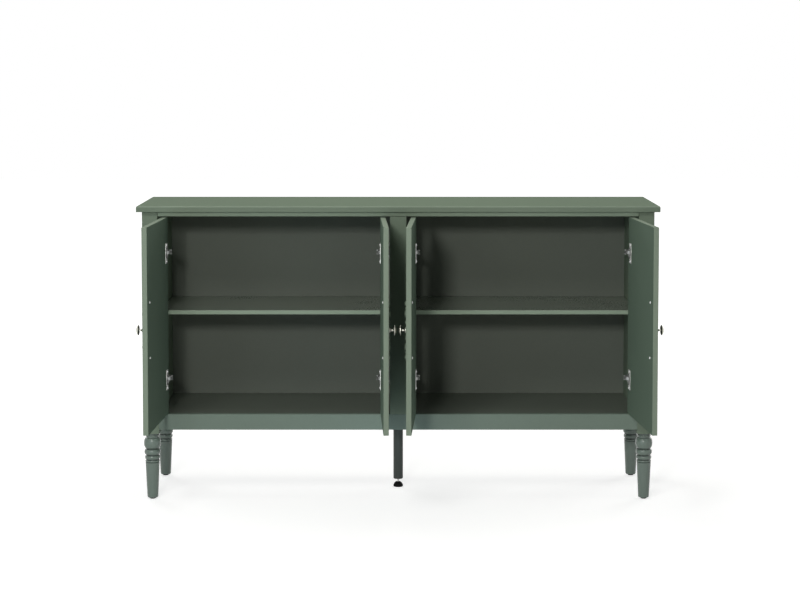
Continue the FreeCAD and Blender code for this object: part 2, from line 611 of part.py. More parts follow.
# Raised lobes above and below the knob. As shares of the plate's length, width and thickness: distance from the
# knob, half height, half width and rise above the door
lobes = [(0.11, 0.025, 0.18, 3.6), (0.232, 0.052, 0.32, 4.4), (0.307, 0.016, 0.16, 3.4), (0.374, 0.032, 0.16, 4)]
raised = [rod("carving_boss", "boss_radius", "boss_height", at("knob_across", 0, 0), facing["front"])]
for number, (away, tall, wide, rise) in enumerate(lobes, 1):
    for sign in ("-", ""):
        lobe = doc.addObject("Part::Ellipsoid", f"lobe_{number}")
        bind(lobe, Radius1=f"{tall} * carving_length", Radius2=f"{wide} * carving_width",
             Radius3=f"{rise} * carving_thick")
        raised.append(place(lobe, at("knob_across", 0, f"{sign}{away} * carving_length")))
door_back = board("door_back", ("knob_across - carving_width", "knob_across + carving_width"), ("0", "door_thick"),
                  ("-carving_length", "carving_length"))
carving = drilled("carving_form", drilled("carving_front", fused("carving_blank", [ground, *raised]), [door_back]),
                  [knob_here, carving_screws_here])

# The door itself, drilled for all that it carries
door_blank = board("door_blank", ("-hinge_reach", "free_edge"), ("0", "door_thick"),
                   ("-door_height / 2", "door_height / 2"))
cup_bore = rod("cup_bore", "cup_radius + cup_fit", "cup_depth + cup_fit", at("cup_across", "door_thick", 0),
               facing["front"])
door_bores = copies("cup_bores", cup_bore, [[level, at("cup_across", "door_thick", 0), facing["front"]]
                                            for level in levels])
door_ear_screws = copies("door_ear_screw_tools", ear_screw,
                         [[level, *steps] for level in levels for steps in ear_steps])
door = drilled("door_form", door_blank, [door_bores, door_ear_screws, knob_here, carving_screws_here])

arms, plates, hinge_pins, arm_screws, plate_screws = [], [], [], [], []
for name, axis, flip, opening in doors:
    fixed = hinge_frame(axis, flip)
    swung = door_frame(axis, flip, opening)
    arms += [fixed + [level] for level in levels]
    arm_screws += [fixed + [level] + arm_screw_step for level in levels]
    plate_screws += [fixed + [level] + steps for level in levels for steps in wing_steps]
    keep(f"{name}_panel", copies(f"{name}_panel_group", door, [swung]))
    keep(f"{name}_knob", copies(f"{name}_knob_group", knob, [swung + knob_step]))
    keep(f"{name}_carving", copies(f"{name}_carving_group", carving, [swung]))
    keep(f"{name}_carving_screws", copies(f"{name}_carving_screw_group", carving_screw,
                                          [swung + steps for steps in carving_screw_steps]))
    keep(f"{name}_hinge_cups", copies(f"{name}_cup_group", cup, [swung + [level] for level in levels]))
    keep(f"{name}_cup_screws", copies(f"{name}_ear_screw_group", ear_screw,
                                      [swung + [level] + steps for level in levels for steps in ear_steps]))
    keep(f"{name}_hinge_links", copies(f"{name}_link_group", link,
                                       [link_frame(axis, flip, opening) + [level] for level in levels]))
keep("hinge_arms", copies("arm_group", arm, arms))
keep("hinge_plates", copies("plate_group", plate, arms))
keep("hinge_pins", copies("hinge_pin_group", hinge_pin, [
    [*frame, at("nose_inset", "nose_back", "-arm_width / 2")] for frame in arms]))
keep("arm_screws", copies("arm_screw_group", arm_screw, arm_screws))

# Centre leg under the bottom panel, with its plate, insert and levelling foot
prop_steps = [[at(f"{a}prop_screw_place", f"{b}prop_screw_place", "prop_plate_under"), facing["down"]]
              for a in ("-", "") for b in ("-", "")]
back_steps = []
for across in ("post_inner / 6", "post_inner / 2", "5 * post_inner / 6"):
    for sign in ("-", ""):
        for height in ("apron_top - panel_thick / 2", "top_under - sub_top_thick / 2"):
            back_steps.append([at(f"{sign}{across}", "back", height), facing["back"]])
prop_screws = copies("prop_screw_tools", pan_screw, prop_steps)
back_screws = copies("back_screw_tools", pan_screw, back_steps)
hinge_screws = copies("hinge_screw_tools", pan_screw, plate_screws)
for name, group in (("bottom_panel", prop_screws), ("bottom_panel", back_screws), ("sub_top_panel", back_screws),
                    ("back_panel_left", back_screws), ("back_panel_right", back_screws),
                    ("side_panel_left", hinge_screws), ("side_panel_right", hinge_screws),
                    ("partition_board_left", hinge_screws), ("partition_board_right", hinge_screws)):
    tools[name].append(group)
keep("panel_screws", compound("panel_screw_group", [*prop_screws.Links, *back_screws.Links, *hinge_screws.Links]))

plate_side = ("-prop_plate_side / 2", "prop_plate_side / 2")
prop_plate = fused("prop_plate_blank", [
    board("prop_plate_flat", plate_side, plate_side, ("prop_plate_under", "bottom_under")),
    rod("prop_plate_stud", "prop_stud_radius", "prop_stud_length",
        at(0, 0, "prop_plate_under - prop_stud_length"))])
keep("centre_leg_plate", drilled("prop_plate_form", prop_plate, [prop_screws]))
insert_top = "prop_bottom + insert_length"
keep("centre_leg", spun("prop_form", [
    ("0", "prop_bore_top"), ("prop_bore", "prop_bore_top"), ("prop_bore", insert_top), ("insert_radius", insert_top),
    ("insert_radius", "prop_bottom"), ("prop_radius - prop_chamfer", "prop_bottom"),
    ("prop_radius", "prop_bottom + prop_chamfer"), ("prop_radius", "prop_plate_under"),
    ("prop_stud_radius", "prop_plate_under"), ("prop_stud_radius", "prop_plate_under - prop_stud_length"),
    ("0", "prop_plate_under - prop_stud_length")]))
keep("centre_leg_insert", spun("insert_form", [
    ("prop_bore", "prop_bottom"), ("insert_radius", "prop_bottom"), ("insert_radius", insert_top),
    ("prop_bore", insert_top)]))
foot_socket = "foot_height - foot_screw_socket"
keep("levelling_foot", spun("foot_form", [
    ("0", "0"), ("foot_radius", "0"), ("foot_radius", "foot_rim"), ("foot_neck_radius", "foot_height"),
    ("foot_screw_radius", "foot_height"), ("foot_screw_radius", foot_socket), ("0", foot_socket)]))
keep("levelling_screw", rod("foot_screw", "foot_screw_radius", "foot_screw_length + foot_screw_socket",
                            at(0, 0, foot_socket)))

for name, blank in blanks.items():
    keep(name, drilled(f"{name}_drilled", blank, tools[name]))

doc.recompute()
for each in doc.Objects:
    if {"Invalid", "Error"} & set(each.State):
        raise RuntimeError(f"{each.Label} failed: {each.State}")
for label, piece in nodes.items():
    if piece.Shape.isNull() or not piece.Shape.isValid() or not piece.Shape.Solids:
        raise RuntimeError(f"{label} has no valid shape")
os.makedirs("parts", exist_ok=True)
for label, piece in nodes.items():
    piece.Shape.exportStep(f"parts/{label}.step")
print(len(nodes), "nodes,", sum(len(piece.Shape.Solids) for piece in nodes.values()), "solids")
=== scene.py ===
import bmesh
import bpy
import json
import math
from mathutils import Matrix, Vector


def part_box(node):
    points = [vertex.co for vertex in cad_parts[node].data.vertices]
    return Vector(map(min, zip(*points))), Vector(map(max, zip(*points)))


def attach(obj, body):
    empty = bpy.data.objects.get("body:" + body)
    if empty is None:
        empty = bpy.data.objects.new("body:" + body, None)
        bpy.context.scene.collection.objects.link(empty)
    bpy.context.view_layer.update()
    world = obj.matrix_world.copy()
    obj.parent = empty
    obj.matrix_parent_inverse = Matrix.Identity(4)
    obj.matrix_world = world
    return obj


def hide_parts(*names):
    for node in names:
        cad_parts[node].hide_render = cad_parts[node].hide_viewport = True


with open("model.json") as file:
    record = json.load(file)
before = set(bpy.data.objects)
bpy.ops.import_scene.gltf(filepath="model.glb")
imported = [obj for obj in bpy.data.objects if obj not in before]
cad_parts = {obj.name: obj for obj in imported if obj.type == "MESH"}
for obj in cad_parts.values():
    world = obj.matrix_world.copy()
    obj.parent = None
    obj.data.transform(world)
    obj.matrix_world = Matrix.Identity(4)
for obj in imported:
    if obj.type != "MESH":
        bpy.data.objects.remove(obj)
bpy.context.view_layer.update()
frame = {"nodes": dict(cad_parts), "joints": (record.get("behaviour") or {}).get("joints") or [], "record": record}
scene = bpy.context.scene
cadNodes = frame["nodes"]
bodyOf = {node: body for body, nodes in frame["record"]["behaviour"]["bodies"].items() for node in nodes}
slotOf = {row["node"]: row["material_slot"] for row in frame["record"]["subparts"]}
doorNames = ("door_1", "door_2", "door_3", "door_4")
mm = 0.001
weldGap = 0.002 * mm  # points closer than this become one
sameSpot = 0.01 * mm  # and closer than this lie on the same plane
print("frame loaded:", len(cadNodes), "nodes")

# camera at the photographed place, slightly above the top and looking a little down
photoView = {"lens": 85.082, "shiftX": 0.00227, "shiftY": -0.15, "place": (0, -5.6515, 1.30319),
             "pitch": 3.788}
camera = bpy.data.objects.new("photoCamera", bpy.data.cameras.new("photoCamera"))
camera.data.lens = photoView["lens"]
camera.data.shift_x = photoView["shiftX"]
camera.data.shift_y = photoView["shiftY"]
camera.location = photoView["place"]
camera.rotation_euler = (math.radians(90 - photoView["pitch"]), 0, 0)
scene.collection.objects.link(camera)
scene.camera = camera
scene.view_settings.view_transform = "Standard"
print("camera set")


class Shade:  # one shader socket, so that sums of sockets read as plain Python
    def __init__(self, tree, socket=None):
        self.tree = tree
        self.socket = socket

    def node(self, kind, settings=None, inputs=None, out=0):
        made = self.tree.nodes.new("ShaderNode" + kind)
        for name, value in (settings or {}).items():
            setattr(made, name, value)
        for name, value in (inputs or {}).items():
            if isinstance(value, Shade):
                self.tree.links.new(value.socket, made.inputs[name])
            else:
                made.inputs[name].default_value = value
        return Shade(self.tree, made.outputs[out])

    def sum(self, operation, first, second):
        return self.node("Math", {"operation": operation}, {0: first, 1: second})

    def __add__(self, other):
        return self.sum("ADD", self, other)

    def __sub__(self, other):
        return self.sum("SUBTRACT", self, other)

    def __rsub__(self, other):
        return self.sum("SUBTRACT", other, self)

    def __mul__(self, other):
        return self.sum("MULTIPLY", self, other)

    __radd__ = __add__
    __rmul__ = __mul__


def startFinish(name):
    finish = bpy.data.materials.new(name)
    finish.use_nodes = True
    return finish, Shade(finish.node_tree), finish.node_tree.nodes["Principled BSDF"]


def plug(shade, bsdf, **sockets):
    for name, value in sockets.items():
        socket = bsdf.inputs[name.replace("_", " ")]
        if isinstance(value, Shade):
            shade.tree.links.new(value.socket, socket)
        else:
            socket.default_value = value


def stretched(shade, scale):
    return shade.node("Mapping", None, {"Vector": shade.node("TexCoord", out="Object"), "Scale": scale})


def clouds(shade, coords, scale, detail=2.0, roughness=0.5):
    return shade.node("TexNoise", None, {"Vector": coords, "Scale": scale, "Detail": detail,
                                         "Roughness": roughness})


def blendColour(shade, factor, first, second):  # sockets 6 and 7 of Mix are its two colours
    return shade.node("Mix", {"data_type": "RGBA"}, {0: factor, 6: first, 7: second}, out=2)


def twoTone(shade, factor, look):
    return blendColour(shade, factor, (*look["deep"], 1), (*look["pale"], 1))


def relieved(shade, height, look):
    return shade.node("Bump", None, {"Strength": look["bump"], "Distance": look["bumpDepth"],
                                     "Height": height})


def paintFinish(name, look):
    # sprayed satin lacquer: slow drift of tone, fine pebbling and a few long sanding marks under it
    finish, shade, bsdf = startFinish(name)
    plain = stretched(shade, (1, 1, 1))
    drift = clouds(shade, plain, look["driftScale"], detail=3)
    speck = clouds(shade, plain, look["speckScale"])
    peel = clouds(shade, plain, look["peelScale"])
    sanding = clouds(shade, stretched(shade, look["sanding"]), look["sandingScale"])
    tone = (drift - 0.5) * look["driftAmount"] + (speck - 0.5) * look["speckAmount"] + 0.5
    relief = peel * look["peelShare"] + sanding * (1 - look["peelShare"])
    colour = twoTone(shade, tone, look)
    if "grooveShade" in look:  # painted shade: darker in the grooves, where little of the surroundings is seen
        openness = shade.node("AmbientOcclusion", {"only_local": True},
                              {"Distance": look["grooveReach"]}, out="AO")
        colour = blendColour(shade, (1.0 - openness) * look["grooveShadeStrength"], colour, (*look["grooveShade"], 1))
    dullness = (drift - 0.5) * look["driftDulling"] + (speck - 0.5) * look["speckDulling"] + look["roughness"]
    plug(shade, bsdf, Base_Color=colour, Roughness=dullness, Normal=relieved(shade, relief, look),
         Specular_IOR_Level=look["specular"])
    return finish


def metalFinish(name, look):
    # plated or polished metal: fine drawn lines, faint handling marks and a slow change of tint
    finish, shade, bsdf = startFinish(name)
    plain = stretched(shade, (1, 1, 1))
    tint = clouds(shade, plain, look["tintScale"], detail=3)
    marks = clouds(shade, plain, look["markScale"], detail=4, roughness=0.65)
    lines = clouds(shade, stretched(shade, look["lines"]), look["lineScale"])
    dullness = (marks - 0.5) * look["markAmount"] + (lines - 0.5) * look["lineAmount"] + look["roughness"]
    plug(shade, bsdf, Base_Color=twoTone(shade, tint, look), Metallic=1.0, Roughness=dullness,
         Normal=relieved(shade, lines, look))
    return finish


def plasticFinish(name, look):
    # moulded plastic: fine grain and a thin, uneven film of dust
    finish, shade, bsdf = startFinish(name)
    plain = stretched(shade, (1, 1, 1))
    grain = clouds(shade, plain, look["grainScale"], detail=3, roughness=0.6)
    dust = clouds(shade, plain, look["dustScale"], detail=3)
    plug(shade, bsdf, Base_Color=twoTone(shade, dust, look), Normal=relieved(shade, grain, look),
         Roughness=(grain - 0.5) * look["grainAmount"] + look["roughness"],
         Specular_IOR_Level=look["specular"])
    return finish


def woodFinish(name, look):
    # bare wood: growth rings drawn out along the grain, with pores between them
    finish, shade, bsdf = startFinish(name)
    along = stretched(shade, look["stretch"])
    rings = shade.node("TexWave", {"wave_type": "BANDS"},
                       {"Vector": along, "Scale": look["ringScale"], "Distortion": look["ringWaver"],
                        "Detail": 3.0})
    pores = clouds(shade, along, look["poreScale"], detail=3)
    tone = rings * look["ringShare"] + pores * (1 - look["ringShare"])
    plug(shade, bsdf, Base_Color=twoTone(shade, tone, look), Normal=relieved(shade, pores, look),
         Roughness=(pores - 0.5) * look["poreAmount"] + look["roughness"])
    return finish


sageLook = {"deep": (0.180, 0.231, 0.174), "pale": (0.236, 0.296, 0.224), "driftScale": 2.6,
            "driftAmount": 0.7, "driftDulling": 0.16, "speckScale": 217.0, "speckAmount": 0.35,
            "speckDulling": 0.1, "peelScale": 620.0, "peelShare": 0.7, "sanding": (1, 1, 0.06),
            "sandingScale": 260.0, "bump": 0.16, "bumpDepth": 0.0004, "roughness": 0.74, "specular": 0.06}
# paler copy of the sage paint on the edges of the doors and the top's rounding, painted light
litEdgeLook = {**sageLook, "deep": (0.240, 0.300, 0.231), "pale": (0.312, 0.382, 0.298)}
# a still paler copy on the front edges of the shelves and the sub-top, painted light
litInnerEdgeLook = {**litEdgeLook, "deep": (0.284, 0.362, 0.274), "pale": (0.362, 0.450, 0.346)}
topLook = {**sageLook, "deep": (0.180, 0.237, 0.174), "pale": (0.233, 0.298, 0.222), "roughness": 0.82,
           "specular": 0.03}
# bluish, paler copy of the sage paint on the aprons, painted cool light bounced from the floor
bounceLitLowLook = {**sageLook, "deep": (0.190, 0.246, 0.206), "pale": (0.249, 0.315, 0.266), "sanding": (0.06, 1, 1)}
# turned legs: bluish copy of the sage paint, painted cool light bounced from the floor, with painted shade in the
# grooves
bounceLitTurnedLook = {**sageLook, "deep": (0.147, 0.198, 0.168), "pale": (0.194, 0.255, 0.217), "bump": 0.04,
              "roughness": 0.23, "specular": 0.5, "grooveShade": (0.030, 0.042, 0.034), "grooveReach": 0.007,
              "grooveShadeStrength": 1.7}
# the carving keeps the sage paint, with painted shade in its grooves
carvedLook = {**sageLook, "roughness": 0.3, "specular": 0.4, "grooveShade": (0.050, 0.066, 0.052),
              "grooveReach": 0.003, "grooveShadeStrength": 0.9}
# darker, greener copy of the sage paint on the inside faces of the doors, painted shade
shadedDoorInsideLook = {**sageLook, "deep": (0.121, 0.170, 0.128), "pale": (0.161, 0.220, 0.168), "roughness": 0.82,
                  "specular": 0.03}
propLook = {**sageLook, "deep": (0.050, 0.062, 0.056), "pale": (0.066, 0.080, 0.073), "roughness": 0.5,
            "specular": 0.3}
# darker, greyer copy of the sage paint on the bottom panel, painted shade
shadedFloorLook = {**sageLook, "deep": (0.122, 0.139, 0.116), "pale": (0.164, 0.186, 0.155),
             "sanding": (0.06, 1, 1), "roughness": 0.4, "specular": 0.45}
# greyer, slightly paler copy of the sage paint on the shelves, painted light on their tops
litShelfLook = {**sageLook, "deep": (0.204, 0.231, 0.193), "pale": (0.272, 0.308, 0.257),
              "sanding": (0.06, 1, 1), "bump": 0.05, "roughness": 0.3, "specular": 0.6}
# darker, greyer copy of the sage paint on the back and partition boards, painted shade
shadedBackLook = {**sageLook, "deep": (0.156, 0.173, 0.149), "pale": (0.205, 0.227, 0.195), "sanding": (0.06, 1, 1)}
knobLook = {"deep": (0.44, 0.44, 0.38), "pale": (0.58, 0.58, 0.51), "tintScale": 70.0, "markScale": 420.0,
            "markAmount": 0.16, "lines": (1, 1, 14), "lineScale": 180.0, "lineAmount": 0.1, "bump": 0.06,
            "bumpDepth": 0.0001, "roughness": 0.34}
# dark metal for the rear of the knob discs, painted shade
shadedKnobBackLook = {**knobLook, "deep": (0.060, 0.060, 0.050), "pale": (0.090, 0.090, 0.076), "roughness": 0.5}
nickelLook = {**knobLook, "deep": (0.78, 0.78, 0.76), "pale": (0.92, 0.91, 0.89), "tintScale": 40.0,
              "markScale": 300.0, "markAmount": 0.18, "lines": (1, 1, 20), "lineScale": 160.0,
              "roughness": 0.55}
dullLook = {**nickelLook, "deep": (0.34, 0.35, 0.34), "pale": (0.46, 0.47, 0.46), "roughness": 0.5}
zincLook = {**knobLook, "deep": (0.70, 0.71, 0.68), "pale": (0.88, 0.89, 0.90), "tintScale": 120.0,
            "markScale": 500.0, "markAmount": 0.3, "lines": (1, 1, 8), "lineScale": 400.0, "bump": 0.12,
            "roughness": 0.55}
blackLook = {"deep": (0.006, 0.006, 0.006), "pale": (0.016, 0.016, 0.015), "grainScale": 900.0,
             "grainAmount": 0.25, "dustScale": 60.0, "bump": 0.3, "bumpDepth": 0.0002, "roughness": 0.55,
             "specular": 0.05}
beechLook = {"deep": (0.42, 0.27, 0.14), "pale": (0.62, 0.44, 0.26), "stretch": (0.2, 1, 1),
             "ringScale": 90.0, "ringWaver": 6.0, "ringShare": 0.7, "poreScale": 500.0, "poreAmount": 0.2,
             "bump": 0.2, "bumpDepth": 0.0002, "roughness": 0.6}
finishes = {"sage_paint": paintFinish("sagePaint", sageLook),
            "back_board": paintFinish("backPaint", shadedBackLook),
            "inside": paintFinish("litShelfPaint", litShelfLook),
            "edge": paintFinish("edgePaint", litEdgeLook),
            "innerEdge": paintFinish("innerEdgePaint", litInnerEdgeLook),
            "top": paintFinish("topPaint", topLook),
            "turned": paintFinish("bounceLitTurnedPaint", bounceLitTurnedLook),
            "doorInside": paintFinish("doorInsidePaint", shadedDoorInsideLook),
            "prop": paintFinish("propPaint", propLook),
            "floor": paintFinish("shadedFloorPaint", shadedFloorLook),
            "low": paintFinish("bounceLitLowPaint", bounceLitLowLook),
            "carved": paintFinish("carvedPaint", carvedLook),
            "dull": metalFinish("dullNickel", dullLook),
            "pale_metal": metalFinish("paleMetal", knobLook),
            "knobBack": metalFinish("shadedBackMetal", shadedKnobBackLook),
            "nickel": metalFinish("brightNickel", nickelLook),
            "zinc_steel": metalFinish("zincSteel", zincLook),
            "black_plastic": plasticFinish("blackPlastic", blackLook),
            "plain_wood": woodFinish("bareBeech", beechLook)}
print("finishes mixed:", len(finishes))

# nodes whose finish differs from their slot's, several of them lit and shaded copies of the sage paint as painted
# light and shade, and boards with painted light on their edges and painted shade on the inside faces of the doors
ownFinish = {"shelf_left": "inside", "shelf_right": "inside", "bottom_panel": "floor",
             "partition_board_left": "back_board", "partition_board_right": "back_board",
             "centre_leg": "prop", "front_apron": "low", "back_apron": "low", "hinge_plates": "dull",
             "hinge_arms": "dull",
             **{door + "_hinge_links": "dull" for door in doorNames},
             **{door + "_carving": "carved" for door in doorNames}}
doorPanels = [door + "_panel" for door in doorNames]
faceFinishes = {"top_board": ["edge", "top"], "sub_top_panel": ["innerEdge"], "shelf_left": ["innerEdge"],
                "shelf_right": ["innerEdge"], **{panel: ["edge", "doorInside"] for panel in doorPanels}}


def pieceName(node):
    first, *rest = node.split("_")
    return first + "".join(word.capitalize() for word in rest)


def jointOf(node):
    return next((row for row in frame["joints"] if row["child"] == bodyOf[node]), None)


def shutPose(node):
    # turns what rides on a door to the shut position, where it is square to the axes
    joint = jointOf(node)
    if joint is None or "range_deg" not in joint:
        return Matrix()
    axle = Matrix.Translation(joint["pos_m"])
    turn = Matrix.Rotation(math.radians(joint["range_deg"][0]), 4, Vector(joint["axis"]))
    return axle @ turn @ axle.inverted()


def addPiece(node, bm, *others):
    # a piece made in the shut position stands for its node, rides on its body and takes its finishes
    bm.transform(shutPose(node).inverted())
    mesh = bpy.data.meshes.new(pieceName(node))
    bm.to_mesh(mesh)
    bm.free()
    piece = bpy.data.objects.new(pieceName(node), mesh)
    scene.collection.objects.link(piece)
    for name in (ownFinish.get(node, slotOf[node]), *others):
        mesh.materials.append(finishes[name])
    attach(piece, bodyOf[node])
    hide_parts(node)
    return piece


def meshOf(node):
    bm = bmesh.new()
    bm.from_mesh(cadNodes[node].data)
    bmesh.ops.remove_doubles(bm, verts=bm.verts, dist=weldGap)
    bm.transform(shutPose(node))
    return bm


def span(verts):
    low = Vector(min(v.co[axis] for v in verts) for axis in range(3))
    return low, Vector(max(v.co[axis] for v in verts) for axis in range(3))


def shutSpan(node):
    bm = meshOf(node)
    ends = span(bm.verts)
    bm.free()
    return ends


def smoothCurves(bm, sharpest=32):
    for face in bm.faces:
        face.smooth = True
    for edge in bm.edges:
        edge.smooth = edge.calc_face_angle(math.pi) < math.radians(sharpest)


def easeEdges(bm, edges, width):
    bmesh.ops.bevel(bm, geom=edges, offset=width, offset_type="OFFSET", affect="EDGES", segments=3,
                    profile=0.5, material=-1)


# boards: the ease of each one's outer edges in millimetres, and the slopes that part their faces into plain paint,
# painted light and painted shade
easedBoards = {"top_board": 1.0, "sub_top_panel": 2.6, "bottom_panel": 0.8, "front_apron": 1.0,
               "back_apron": 1.0, "centre_stile": 1.0, "side_panel_left": 0.8, "side_panel_right": 0.8,
               "partition_board_left": 0.8, "partition_board_right": 0.8, "shelf_left": 1.2,
               "shelf_right": 1.2, "back_panel_left": 0.5, "back_panel_right": 0.5,
               **{panel: 1.2 for panel in doorPanels}}
boardFaces = {"flatWithin": 0.01, "level": 0.95, "rounded": 0.2, "broad": 0.5}


def softBoard(node, width, look):
    # a board as cut, with its outer edges eased
    bm = meshOf(node)
    for face in bm.faces:
        face.smooth = False
    bmesh.ops.dissolve_limit(bm, angle_limit=look["flatWithin"], verts=bm.verts, edges=bm.edges)
    low, high = span(bm.verts)
    corners = {v for v in bm.verts
               if all(min(v.co[a] - low[a], high[a] - v.co[a]) < sameSpot for a in range(3))}
    rims = [e for e in bm.edges if set(e.verts) <= corners
            and sum(abs(e.verts[0].co[a] - e.verts[1].co[a]) > sameSpot for a in range(3)) == 1]
    easeEdges(bm, rims, width)
    thin = min(range(3), key=lambda a: high[a] - low[a])
    others = faceFinishes.get(node, [])
    for face in bm.faces:
        if node == "top_board":  # painted highlight along its rounding only
            last = face.normal.z > look["level"]
            first = look["rounded"] < face.normal.z <= look["level"]
        else:
            last = face.normal.y > look["broad"] and node in doorPanels
            first = abs(face.normal[thin]) < look["broad"]
        face.material_index = len(others) if last else int(first and bool(others))
    addPiece(node, bm, *others)


def smoothPart(node):
    # small hardware as cut, with its curves shaded round
    bm = meshOf(node)
    smoothCurves(bm)
    addPiece(node, bm)


for node, width in easedBoards.items():
    softBoard(node, width * mm, boardFaces)
print("boards eased:", len(easedBoards))

# turned corner legs, heights and radii in millimetres from the floor up; rings as bottom, top and radius
legTurning = {"glide": 4, "footRadius": 16, "footRound": 2.5, "footSteps": 4, "taperTop": 109,
              "taperTopRadius": 20.7, "lipHeight": 0.6, "lipInset": 0.8, "waist": 18.3, "square": 45,
              "squareBottom": 195, "squareEase": 1.4, "sides": 72, "beadPoints": 10, "sharpest": 50,
              "rings": ((109, 116, 21.2), (117.6, 129.6, 22.2), (131.2, 148.4, 23.6), (150, 181.98, 24.8),
                        (186.24, 190.74, 19.8))}


def beadStations(low, high, waist, radius, points):
    middle, half = (low + high) / 2, (high - low) / 2
    turns = [math.pi * (step / points - 0.5) for step in range(points + 1)]
    return [(waist + (radius - waist) * math.cos(turn), middle + half * math.sin(turn)) for turn in turns]


def spinUp(stations, sides):
    # spins a profile of radius and height about an upright axis
    bm = bmesh.new()
    verts = [bm.verts.new((radius * mm, 0, height * mm)) for radius, height in stations]
    edges = [bm.edges.new(pair) for pair in zip(verts, verts[1:])]
    bmesh.ops.spin(bm, geom=verts + edges, cent=(0, 0, 0), axis=(0, 0, 1), angle=2 * math.pi, steps=sides,
                   use_merge=True)
    bmesh.ops.remove_doubles(bm, verts=bm.verts, dist=weldGap)
    return bm


def turnedShape(stations, look):
    bm = spinUp(stations, look["sides"])
    bmesh.ops.recalc_face_normals(bm, faces=bm.faces)
    smoothCurves(bm, look["sharpest"])
    return bm


def turnedLeg(node, look):
    low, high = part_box(node)
    stations = [(0, look["glide"])]
    foot = look["footRadius"] - look["footRound"]
    for step in range(look["footSteps"] + 1):
        turn = math.pi / 2 / look["footSteps"] * step
        stations.append((foot + look["footRound"] * math.sin(turn),
                         look["glide"] + look["footRound"] * (1 - math.cos(turn))))
    stations += [(look["taperTopRadius"], look["taperTop"] - look["lipHeight"]),
                 (look["taperTopRadius"] - look["lipInset"], look["taperTop"])]
    for bottom, top, radius in look["rings"]:
        stations += beadStations(bottom, top, look["waist"], radius, look["beadPoints"])
    stations += [(look["waist"], look["squareBottom"]), (0, look["squareBottom"])]
    bm = spinUp(stations, look["sides"])
    smoothCurves(bm, look["sharpest"])
    place = Matrix.Translation(((low.x + high.x) / 2, (low.y + high.y) / 2, 0))
    bm.transform(place)
    # the square post above, flat shaded, keeps the slot's paint
    bottom, side = look["squareBottom"] * mm, look["square"] * mm
    middle = Matrix.Translation((0, 0, (bottom + high.z) / 2))
    square = place @ middle @ Matrix.Diagonal((side, side, high.z - bottom, 1))
    post = bmesh.ops.create_cube(bm, size=1, matrix=square)["verts"]
    for face in bm.faces:
        face.material_index = int(face.smooth)
    easeEdges(bm, list({edge for vert in post for edge in vert.link_edges}), look["squareEase"] * mm)
    bmesh.ops.recalc_face_normals(bm, faces=bm.faces)
    addPiece(node, bm, "turned")


for corner in ("front_left", "front_right", "back_left", "back_right"):
    turnedLeg("leg_" + corner, legTurning)
print("legs turned")

# round centre leg, black levelling foot and its threaded screw, in millimetres
centreLeg = {"radius": 14.5, "ease": 1.5, "easeMiddle": 0.3, "bottom": 24.6, "boreRadius": 3.4,
             "boreTop": 69.0, "pocketRadius": 6.04, "pocketTop": 40.64, "sides": 64, "sharpest": 40}
levellingFoot = {"radius": 14.5, "rim": 4.2, "edge": 1.6, "edgeInset": 0.3, "edgeShare": 0.4, "height": 15.6,
                 "neck": 4.6, "bore": 3, "boreDepth": 7.6, "dome": 1.3, "domeSteps": 12, "sides": 56,
                 "sharpest": 40}
levellingScrew = {"radius": 3, "depth": 0.45, "pitch": 1.0, "sides": 32, "sharpest": 70}


def centreLegPiece(look):
    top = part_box("centre_leg")[1].z / mm
    eased = look["ease"] * look["easeMiddle"]
    stations = [(0, look["boreTop"]), (look["boreRadius"], look["boreTop"]),
                (look["boreRadius"], look["pocketTop"]), (look["pocketRadius"], look["pocketTop"]),
                (look["pocketRadius"], look["bottom"]), (look["radius"] - look["ease"], look["bottom"]),
                (look["radius"] - eased, look["bottom"] + eased),
                (look["radius"], look["bottom"] + look["ease"]), (look["radius"], top), (0, top)]
    addPiece("centre_leg", turnedShape(stations, look))


def levellingFootPiece(look):
    stations = [(0, 0), (look["radius"] - look["edge"], 0),
                (look["radius"] - look["edgeInset"], look["edge"] * look["edgeShare"]),
                (look["radius"], look["edge"])]
    for step in range(look["domeSteps"] + 1):  # domed shoulder from the rim up to the neck
        turn = math.pi / 2 / look["domeSteps"] * step
        stations.append((look["neck"] + (look["radius"] - look["neck"]) * abs(math.cos(turn)) ** look["dome"],
                         look["rim"] + (look["height"] - look["rim"]) * math.sin(turn) ** look["dome"]))
    boreBottom = look["height"] - look["boreDepth"]
    stations += [(look["bore"], look["height"]), (look["bore"], boreBottom), (0, boreBottom)]
    addPiece("levelling_foot", turnedShape(stations, look))


def levellingScrewPiece(look):
    low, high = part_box("levelling_screw")
    bottom, top = low.z / mm, high.z / mm
    root = look["radius"] - look["depth"]
    stations = [(0, bottom), (look["radius"], bottom)]
    height = bottom + look["pitch"]
    while height < top - look["pitch"]:
        stations += [(look["radius"], height), (root, height + look["pitch"] / 2)]
        height += look["pitch"]
    stations += [(look["radius"], height), (root, top), (0, top)]
    addPiece("levelling_screw", turnedShape(stations, look))


centreLegPiece(centreLeg)
levellingFootPiece(levellingFoot)
levellingScrewPiece(levellingScrew)
print("centre leg and foot made")

# cross recess of the screw heads in millimetres, and the share of a screw's length that counts as its end
crossRecess = {"length": 4.4, "width": 1.0, "depth": 1.3, "endShare": 0.16}


def islands(bm):
    # the separate solids of a mesh, in the order of their first points
    waiting = set(bm.verts)
    for start in bm.verts:
        if start not in waiting:
            continue
        waiting.remove(start)
        group, border = set(), [start]
        while border:
            vert = border.pop()
            group.add(vert)
            near = {e.other_vert(vert) for e in vert.link_edges} & waiting
            waiting -= near
            border += near
        yield group


